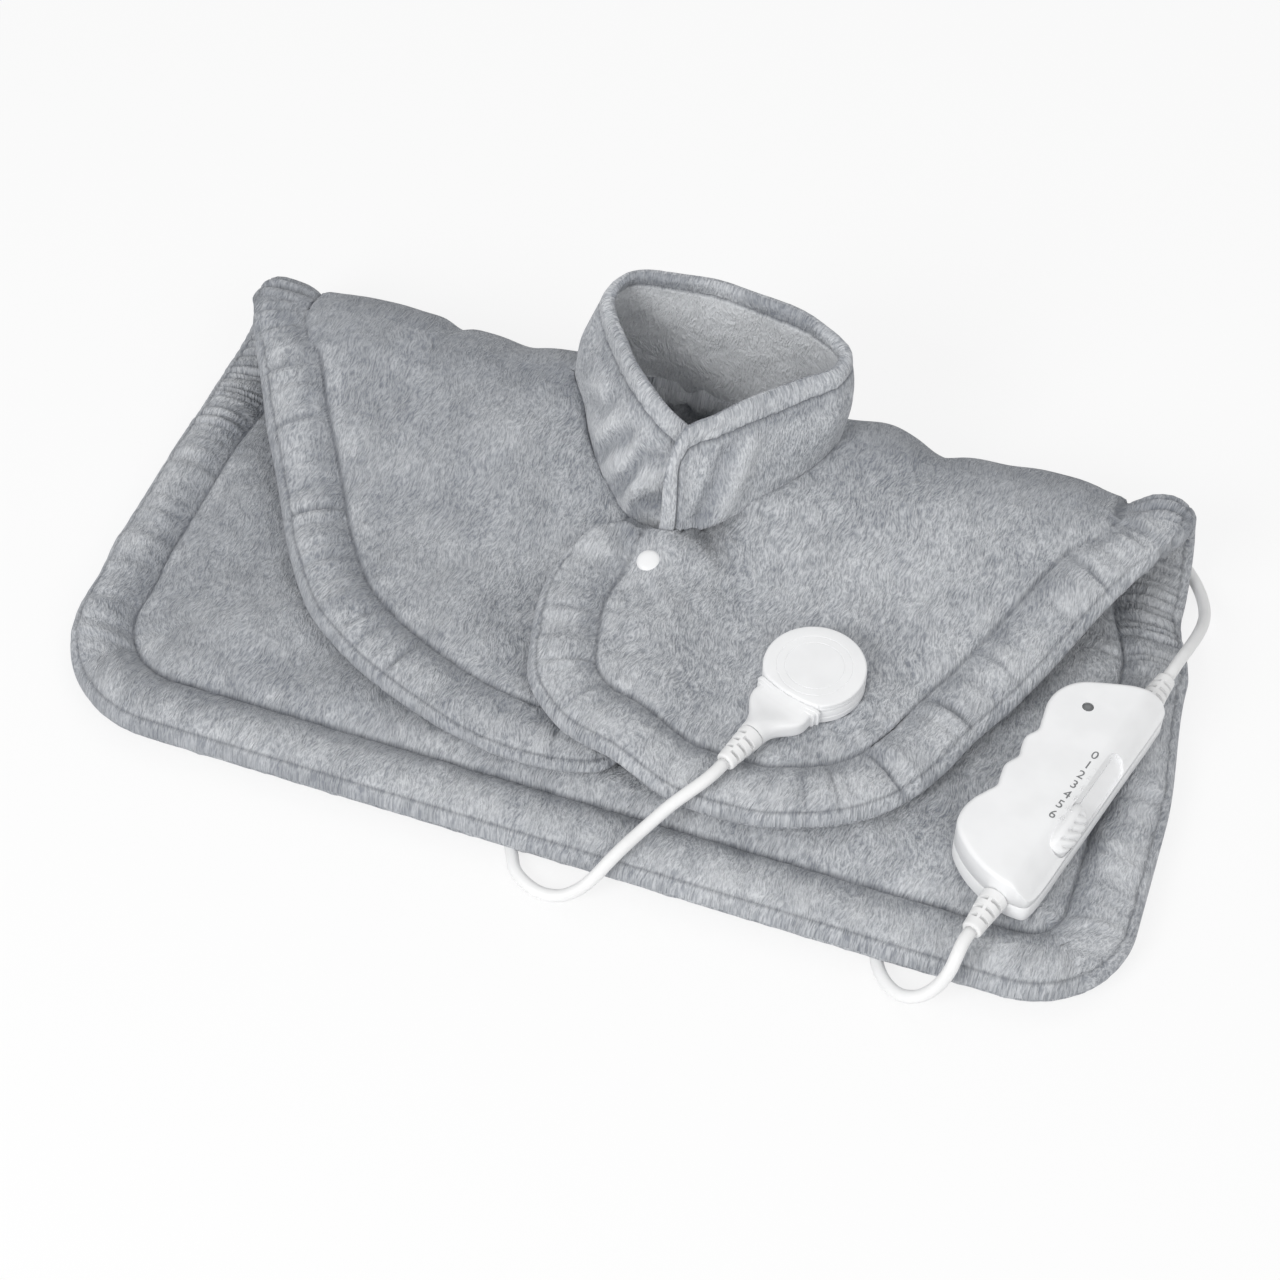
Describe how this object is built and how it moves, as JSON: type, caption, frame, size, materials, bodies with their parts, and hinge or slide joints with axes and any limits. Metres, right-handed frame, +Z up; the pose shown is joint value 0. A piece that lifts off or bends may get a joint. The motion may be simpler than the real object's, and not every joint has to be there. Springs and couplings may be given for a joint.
{
  "type": "heating pad with controller",
  "caption": "Shoulder and neck heating pad, folded flat with closed flaps and a stand-up collar, with a plug-in cord, a slider hand controller and a coiled mains cord.",
  "frame": {"origin": "middle of the pad on the surface that it rests on", "axes": "+X along the fold, from the left flap to the right one; +Y from the near hem to the fold; +Z up"},
  "size_m": [0.542, 0.3998, 0.135],
  "materials": {
    "plush": "short dense microplush",
    "lining": "smooth brushed fabric",
    "fleece": "thin white fleece",
    "white_shell": "fine matte white",
    "white_rubber": "smooth soft white",
    "lamp_grey": "smoky translucent grey",
    "board_green": "circuit board",
    "metal": "plated",
    "dark_plastic": "moulded"
  },
  "bodies": {
    "pad": {"back_cover_lower": "plush", "back_cover_upper": "plush", "back_heating_carrier": "fleece", "left_flap_cover_lower": "plush", "left_flap_cover_upper": "plush", "left_heating_carrier": "fleece", "right_flap_cover_lower": "plush", "right_flap_cover_upper": "plush", "right_heating_carrier": "fleece", "back_heating_wire": "metal", "left_heating_wire": "metal", "right_heating_wire": "metal", "collar_outer": "plush", "collar_lining": "lining", "snap_cap": "white_shell", "snap_ring": "white_shell", "snap_stud": "white_shell", "snap_post": "white_shell", "socket_housing": "white_shell", "socket_lid": "white_shell", "socket_plate": "white_shell", "socket_pin_1": "metal", "socket_pin_2": "metal", "socket_pin_3": "metal", "pad_cord_2": "white_rubber", "mains_cord_run": "white_rubber", "mains_cord_tail": "white_rubber", "mains_cord_coil": "white_rubber", "cord_tie": "white_rubber", "mains_plug_body": "white_shell", "mains_plug_pin_1": "metal", "mains_plug_pin_2": "metal", "mains_plug_relief": "white_rubber", "controller_upper_shell": "white_shell", "controller_lower_shell": "white_shell", "case_screw_1": "metal", "case_screw_2": "metal", "case_screw_3": "metal", "case_screw_4": "metal", "slide_switch": "dark_plastic", "circuit_board": "board_green", "led": "lamp_grey", "led_lens": "lamp_grey", "capacitor": "dark_plastic", "triac": "dark_plastic", "fuse": "metal", "pad_side_relief": "white_rubber", "mains_side_relief": "white_rubber"},
    "slider": {"slider_knob": "white_shell", "slider_carriage": "dark_plastic"},
    "connector_plug": {"plug_lower_shell": "white_shell", "plug_upper_shell": "white_shell", "plug_contact_1": "metal", "plug_contact_2": "metal", "plug_contact_3": "metal", "plug_strain_relief": "white_rubber", "pad_cord_1": "white_rubber"}
  },
  "joints": [
    {"name": "heat_slider", "type": "slide", "parent": "pad", "child": "slider", "axis": [0.2546, 0.967, 0], "range_m": [0, 0.0396]},
    {"name": "connector_pull", "type": "slide", "parent": "pad", "child": "connector_plug", "axis": [-0.3305, -0.9438, 0], "range_m": [0, 0.018]}
  ]
}
